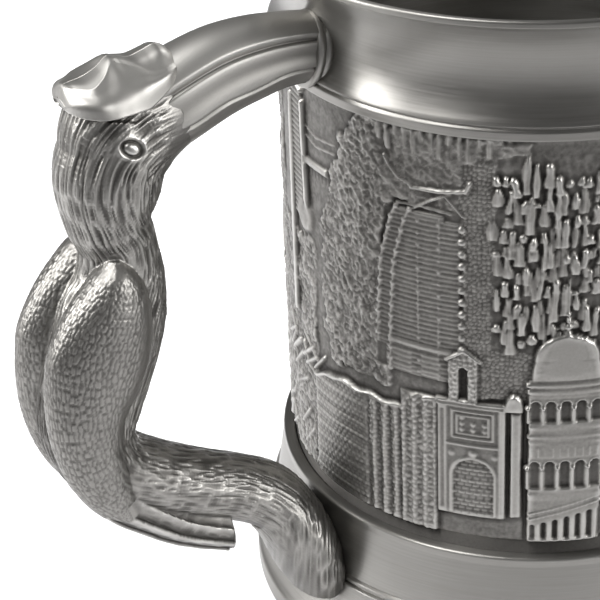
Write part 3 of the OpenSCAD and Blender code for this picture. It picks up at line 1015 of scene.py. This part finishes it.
def fuse(name, parts, voxel, smoothing):
    bm = bmesh.new()
    for points, faces in parts:
        verts = [bm.verts.new(p) for p in points]
        for block in faces:
            for face in block:
                bm.faces.new([verts[i] for i in face])
    bmesh.ops.recalc_face_normals(bm, faces=bm.faces)
    mesh = bpy.data.meshes.new(name)
    bm.to_mesh(mesh)
    bm.free()
    piece = bpy.data.objects.new(name, mesh)
    bpy.context.collection.objects.link(piece)
    remesh = piece.modifiers.new("fuse", "REMESH")
    remesh.mode = "VOXEL"
    remesh.voxel_size = voxel
    remesh.use_smooth_shade = True
    smooth = piece.modifiers.new("soften", "SMOOTH")
    smooth.factor = 0.5
    smooth.iterations = smoothing
    ready = bpy.data.meshes.new_from_object(piece.evaluated_get(bpy.context.evaluated_depsgraph_get()))
    piece.modifiers.clear()
    piece.data = ready
    bpy.data.meshes.remove(mesh)
    return piece


def nearest(points, line):
    best = np.empty(len(points), dtype=int)
    flat = points[:, (0, 2)]
    for start in range(0, len(points), 20000):
        block = flat[start:start + 20000]
        far = ((block[:, None, :] - line["middle"][None]) ** 2).sum(-1)
        best[start:start + 20000] = far.argmin(axis=1)
    away = ((flat - line["middle"][best]) * line["outward"][best]).sum(-1) / line["deep"][best]
    aside = (points[:, 1] - line["side"]) / line["wide"][best]
    turn = np.arctan2(aside, away)
    girth = turn * (line["deep"][best] + line["wide"][best]) / 2
    beyond = np.linalg.norm(flat - line["middle"][best], axis=1) - line["deep"][best]
    end = (best == 0) | (best == len(line["run"]) - 1)
    return line["run"][best], turn, girth, np.hypot(away, aside) + end * np.clip(beyond, 0, 9)


def strands(girth, run, wide, long, seed):
    drift = 0.5 * gridNoise(girth / 5, run / 9, seed)
    one = gridNoise((girth + drift) / wide, run / long, seed + 1)
    two = gridNoise((girth + drift) / (0.55 * wide), run / (0.8 * long), seed + 2)
    return 1 - 2.1 * np.minimum(abs(one), 1) - 0.5 * abs(two)


bird = {
    "voxel": 0.2,
    "strandDepth": 0.17, "strandWide": 0.36, "strandLong": 3,
    "scaleDepth": 0.12, "scaleWide": 0.72, "scaleLong": 1.5,
    "vaneDepth": 0.6,
    "eye": (34.3, 90.2),       # out, up
    "eyeSize": 1.05,
}


def makeBird():
    body = spine(handle["body"])
    wings = [spine(handle["wing"], side * handle["wingOut"]) for side in (-1, 1)]
    tail = spine(handle["tail"])
    tailPoints, tailFaces = tube(tail)
    tailPoints[:, 0] = np.minimum(tailPoints[:, 0], -(drumR + handle["tailCut"]))
    parts = [tube(body), tube(spine(handle["skull"])), tube(wings[0]), tube(wings[1]),
             (tailPoints, tailFaces)]
    piece = fuse("birdCasting", parts, bird["voxel"], 3)
    mesh = piece.data
    points = np.empty(len(mesh.vertices) * 3)
    mesh.vertices.foreach_get("co", points)
    points = points.reshape(-1, 3)
    normals = np.empty(len(points) * 3)
    mesh.vertices.foreach_get("normal", normals)
    normals = normals.reshape(-1, 3)
    run, turn, girth, onBody = nearest(points, body)
    lift = np.zeros(len(points))
    up = points[:, 2] - bandLow.z
    out = -points[:, 0] - drumR

    # how much each part owns a point
    owners = [onBody]
    places = [(run, turn, girth)]
    for line in (*wings, tail):
        r, t, g, on = nearest(points, line)
        owners.append(on)
        places.append((r, t, g))
    owners = np.array(owners)
    share = np.exp(-9 * (owners - owners.min(axis=0)))
    share /= share.sum(axis=0)

    hair = strands(girth, run, bird["strandWide"], bird["strandLong"], 21)
    fine = strands(girth, run, 0.45, 2.4, 31)
    onHead = softStep((up - 30) / 8)
    onPad = softStep((17 - up) / 5) * softStep((14 - out) / 4)
    face = softStep((out - 25) / 5) + softStep((80 - up) / 4)
    face = np.clip(face, 0.12, 1)
    swirl = strands(out + 0.5 * points[:, 1], up * 0.8 + points[:, 1], 0.6, 3.0, 41)
    bodyLift = bird["strandDepth"] * (onHead * face * hair
                                      + (1 - onHead) * 0.7 * ((1 - onPad) * fine + onPad * swirl))
    smoothTop = softStep((np.cos(turn) - 0.2) / 0.6) * softStep((32 - out) / 6) * (up < 36)
    bodyLift *= 1 - 0.55 * smoothTop
    lift += share[0] * bodyLift

    for k, place in ((1, places[1]), (2, places[2])):
        r, t, g = place
        near, far = gridCells(g / bird["scaleWide"] + 30, r / bird["scaleLong"] + 7, 50 + k)
        scales = softStep((far - near) * 2.4) - 0.6
        long = strands(g, r, 1.5, 12, 60 + k)
        edge = softStep((abs(t) - 1.9) / 0.5)
        bare = softStep((r - 1) / 3) * 0.75 + 0.25
        lift += share[k] * bare * bird["scaleDepth"] * (scales * (1 - edge) + 0.6 * long * edge)

    r, t, g = places[3]
    phase = (np.degrees(abs(t)) - 38) / 34
    step = phase - np.floor(phase)
    vane = np.where((phase > -0.4) & (phase < 3.4), (1 - step) ** 1.3, 0.3)
    lift += share[3] * (bird["vaneDepth"] * (vane - 0.5) * softStep(r / 9)
                        + 0.35 * bird["strandDepth"] * strands(g, r, 0.8, 2.5, 71))
    cutFace = (abs(points[:, 0] + drumR + handle["tailCut"]) < 0.2) & (up < 17.5) & (share[3] > 0.3)
    lift[cutFace] = 0

    # eyes: a round ball in an almond rim
    for side in (-1, 1):
        a, b = bird["eye"]
        across, rise = out - a, up - b - 0.25 * (out - a)
        far = np.hypot(across / 1.25, rise)
        here = (points[:, 1] * side > 3) & (far < 3.2 * bird["eyeSize"])
        size = bird["eyeSize"]
        ball = 0.45 * np.sqrt(np.clip(1 - (far / (0.95 * size)) ** 2, 0, 1))
        groove = -0.28 * np.exp(-((far - 1.08 * size) / 0.25) ** 2)
        rim = 0.16 * np.exp(-((far - 1.65 * size) / 0.35) ** 2)
        calm = np.exp(-(far / (1.9 * size)) ** 4)
        lift = np.where(here, lift * (1 - calm) + ball + groove + rim, lift)

    moved = seat(points + normals * lift[:, None])
    moved[cutFace, 0] = -(drumR + handle["tailCut"])
    mesh.vertices.foreach_set("co", (moved * mm).ravel())
    mesh.update()
    worn = 0.5 + 1.8 * lift
    # painted shade: the slit down the handle's back between the two wings is darkened in the worn attribute,
    # on top of the patina, where the wings shade it
    paintedSlitShade = softStep((share[0] - 0.3) / 0.4) * softStep((up - 26) / 6) * softStep((62 - up) / 4) \
        * softStep((np.cos(turn) - 0.3) / 0.5)
    setWearAndShade(mesh, np.clip(worn - 0.25 * paintedSlitShade, 0, 1))
    dress(piece, "bird", ["bird_casting"])
    print("bird casting", len(mesh.polygons))


# Beak: two halves that meet in a wavy line, with a ridge band along the top
beak = {
    "ridgeTurn": 57,      # degrees from the top to the groove beside the ridge band
    "partTurn": (112, 9), # middle of the parting line, and how far it waves
    "lineTurn": 146,      # fine line near the lower edge
    "grooveDeep": 0.5,
    "steps": 0.3,
}


def beakShape(run, turn):
    angle = np.degrees(np.minimum(turn, tau - turn))
    share = run / run.max()
    part = beak["partTurn"][0] - beak["partTurn"][1] * (2 * share - 1) ** 2 - 3 * share
    part = part + 1.5 * np.sin(share * 17)
    groove = np.exp(-((angle - beak["ridgeTurn"]) / 3.2) ** 2)
    parting = np.exp(-((angle - part) / 3.0) ** 2)
    fine = np.exp(-((angle - beak["lineTurn"]) / 2.5) ** 2)
    band = 0.4 * softStep((beak["ridgeTurn"] - angle) / 8)
    lower = 0.3 * softStep((angle - part - 2) / 6)
    waist = -0.45 * np.exp(-((angle - 82) / 14) ** 2)
    return band + waist - lower - beak["grooveDeep"] * (groove + 1.15 * parting + 0.5 * fine)


def makeBeak():
    line = spine(handle["beak"], step=beak["steps"])
    points, faces = tube(line, beakShape, segments=240, ends=4)
    run = line["run"][:, None]
    turn = np.linspace(0, tau, 240, endpoint=False)[None, :]
    carved = beakShape(run + 0 * turn, turn + 0 * run)
    worn = np.clip(0.72 + 0.75 * np.minimum(carved, 0), 0, 1)
    worn = np.concatenate([np.full((3, 240), 0.4), worn, np.full((3, 240), 0.4)])
    addPiece("beak", seat(points, 41.2), faces, "polished", ["beak"], worn=worn)


# Ferrule: a double bead where the beak meets the collar
ferrule = {
    "from": -1.9,
    "to": 1.3,
    "proud": 0.4,
}


def ferruleShape(run, turn):
    share = run / run.max()
    return 0.15 + ferrule["proud"] * abs(np.sin(share * tau)) ** 0.7


def makeFerrule():
    line = smoothPath(handle["beak"], 0.1)
    inside = (line[:, 0] > ferrule["from"]) & (line[:, 0] < ferrule["to"])
    points, faces = tube(spine(line[inside][::4], step=0.1), ferruleShape, segments=160, ends=4)
    addPiece("beakFerrule", seat(points, 41.4), faces, "polished",
             ["beak_ferrule"], worn=0.62)


# Casque: each station is out, top, crease (half width, up), hollow, bulge and lower edge
casque = {
    "stations": [
        (42.0, 97.6, (0.8, 97.5), (1.4, 97.3), (2.0, 97.0), (1.8, 96.6)),
        (41.4, 99.5, (1.0, 99.4), (2.0, 98.7), (3.6, 97.6), (3.6, 96.2)),
        (40.2, 99.9, (2.0, 99.5), (3.2, 98.9), (5.0, 97.8), (5.2, 95.8)),
        (38.2, 100.2, (3.8, 99.5), (4.6, 98.8), (6.1, 97.5), (6.5, 95.5)),
        (36.0, 101.0, (3.2, 100.5), (4.4, 99.3), (6.2, 97.6), (7.0, 95.4)),
        (34.0, 102.3, (1.7, 101.9), (4.2, 100.0), (6.2, 97.8), (7.0, 95.4)),
        (32.4, 102.0, (2.0, 101.5), (4.3, 99.9), (6.1, 98.1), (6.9, 95.4)),
        (30.4, 101.4, (3.0, 100.7), (4.4, 99.8), (6.0, 98.4), (6.6, 95.4)),
        (28.2, 101.9, (3.9, 99.9), (4.7, 99.4), (5.6, 98.6), (6.0, 96.3)),
        (26.0, 102.4, (3.9, 99.9), (4.3, 99.6), (4.9, 99.0), (5.2, 97.4)),
        (24.2, 101.3, (2.8, 99.8), (3.1, 99.6), (3.5, 99.3), (3.9, 98.4)),
        (23.2, 99.8, (0.9, 99.6), (1.0, 99.5), (1.2, 99.4), (1.2, 99.0)),
    ],
    "around": 40,      # points from the ridge down to the lower edge
}


def bend(values, count):
    v = np.vstack([2 * values[0] - values[1], values, 2 * values[-1] - values[-2]])
    t = np.linspace(0, len(values) - 1 - 1e-6, count)
    i = t.astype(int)
    f = (t - i)[:, None]
    a, b, c, d = v[i], v[i + 1], v[i + 2], v[i + 3]
    return 0.5 * (2 * b + (c - a) * f + (2 * a - 5 * b + 4 * c - d) * f ** 2
                  + (3 * b - a - 3 * c + d) * f ** 3)


def makeCasque():
    keys = np.array([[out, top, *crease, *hollow, *bulge, *edge]
                     for out, top, crease, hollow, bulge, edge in casque["stations"]])
    keys = bend(keys, 150)
    rings = []
    for out, top, cw, cu, hw, hu, bw, bu, ew, eu in keys:
        cap = bend(np.array([(0.0, top), (cw * 0.55, top - 0.3 * (top - cu)), (cw, cu)]), 18)
        side = bend(np.array([(cw, cu), (hw, hu), (bw, bu), (ew, eu)]), casque["around"])
        under = np.array([(ew * 0.8, eu - 0.2), (0.01, eu - 0.2)])
        half = np.concatenate([cap[:-1], side, under])
        full = np.concatenate([half, half[::-1] * (-1, 1)])
        rings.append(np.stack([np.full(len(full), -(drumR + out)), full[:, 0], full[:, 1] + bandLow.z], -1))
    points = np.array(rings)
    count, size = points.shape[:2]
    index = np.arange(count * size).reshape(count, size)
    side = np.roll(index, -1, axis=1)
    faces = np.stack([index[:-1], side[:-1], side[1:], index[1:]], axis=-1).reshape(-1, 4)
    return addPiece("casque", points.reshape(-1, 3), [faces, index[:1], index[-1:]], "polished",
                    ["casque"], worn=0.7)


print("handle")
makeBird()
makeBeak()
makeFerrule()
makeCasque()


# The view: from the handle's side, above the rim, turned so that the drum lies right of centre
view = {
    "place": (-198.2, -269.9, 250.5),
    "heading": 60.62,      # degrees round from +X
    "pitch": 30.64,        # degrees down
    "roll": 2.5,
    "lens": 132.06,
}


def makeCamera():
    heading, pitch, roll = (math.radians(view[key]) for key in ("heading", "pitch", "roll"))
    ahead = Vector((math.cos(heading) * math.cos(pitch), math.sin(heading) * math.cos(pitch),
                    -math.sin(pitch)))
    right = Vector((math.sin(heading), -math.cos(heading), 0))
    down = ahead.cross(right)
    across = math.cos(roll) * right + math.sin(roll) * down
    below = -math.sin(roll) * right + math.cos(roll) * down
    data = bpy.data.cameras.new("camera")
    data.lens = view["lens"]
    data.sensor_width = 36
    data.clip_end = 10
    camera = bpy.data.objects.new("camera", data)
    turn = Matrix((across, -below, -ahead)).transposed().to_4x4()
    camera.matrix_world = Matrix.Translation(Vector(view["place"]) * mm) @ turn
    bpy.context.collection.objects.link(camera)
    bpy.context.scene.camera = camera


# Soft studio light. Side is in degrees round from +X, up in degrees, away and size in metres, and
# aim is the point on the floor it looks at. Spread keeps light off the floor in front of the drum, and
# near is a soft light on the handle's near side.
lamps = {
    "key": {"side": 140, "up": 58, "away": 0.62, "size": (0.55, 0.55), "spread": 52, "watts": 1.3,
            "aim": (-0.03, 0.25)},
    "left": {"side": 152, "up": 24, "away": 0.8, "size": (0.45, 0.7), "spread": 50, "watts": 1.2,
             "aim": (-0.07, 0.09)},
    "near": {"side": 303, "up": 20, "away": 0.8, "size": (0.5, 0.45), "spread": 70, "watts": 0.95,
             "aim": (-0.06, -0.02)},
    "rim": {"side": 20, "up": 30, "away": 0.9, "size": (0.25, 0.7), "spread": 80, "watts": 0.8,
            "aim": (0.0, 0.0)},
}
floorFinish = {"size": 8.0, "colour": "#f4f4f6", "roughness": 0.75}
skyFinish = {"colour": "#ffffff", "strength": 0.17}


def makeStage():
    for name, lamp in lamps.items():
        data = bpy.data.lights.new(name, "AREA")
        data.shape = "RECTANGLE"
        data.size, data.size_y = lamp["size"]
        data.energy = lamp["watts"]
        data.spread = math.radians(lamp["spread"])
        side, up = math.radians(lamp["side"]), math.radians(lamp["up"])
        back = Vector((math.cos(side) * math.cos(up), math.sin(side) * math.cos(up), math.sin(up)))
        light = bpy.data.objects.new(name, data)
        light.location = back * lamp["away"]
        look = light.location - Vector((*lamp["aim"], 0))
        light.rotation_euler = look.to_track_quat("Z", "Y").to_euler()
        bpy.context.collection.objects.link(light)
    half = floorFinish["size"] / 2
    mesh = bpy.data.meshes.new("floor")
    mesh.from_pydata([(-half, -half, 0), (half, -half, 0), (half, half, 0), (-half, half, 0)], [],
                     [(0, 1, 2, 3)])
    ground = bpy.data.objects.new("floor", mesh)
    bpy.context.collection.objects.link(ground)
    material = bpy.data.materials.new("matPaintedBoard")
    material.use_nodes = True
    shader = material.node_tree.nodes["Principled BSDF"]
    shader.inputs["Base Color"].default_value = linearColour(floorFinish["colour"])
    shader.inputs["Roughness"].default_value = floorFinish["roughness"]
    mesh.materials.append(material)
    world = bpy.data.worlds.new("softRoom")
    world.use_nodes = True
    sky = world.node_tree.nodes["Background"]
    sky.inputs["Color"].default_value = linearColour(skyFinish["colour"])
    sky.inputs["Strength"].default_value = skyFinish["strength"]
    bpy.context.scene.world = world
    bpy.context.scene.view_settings.view_transform = "Standard"


print("camera and light")
makeCamera()
makeStage()
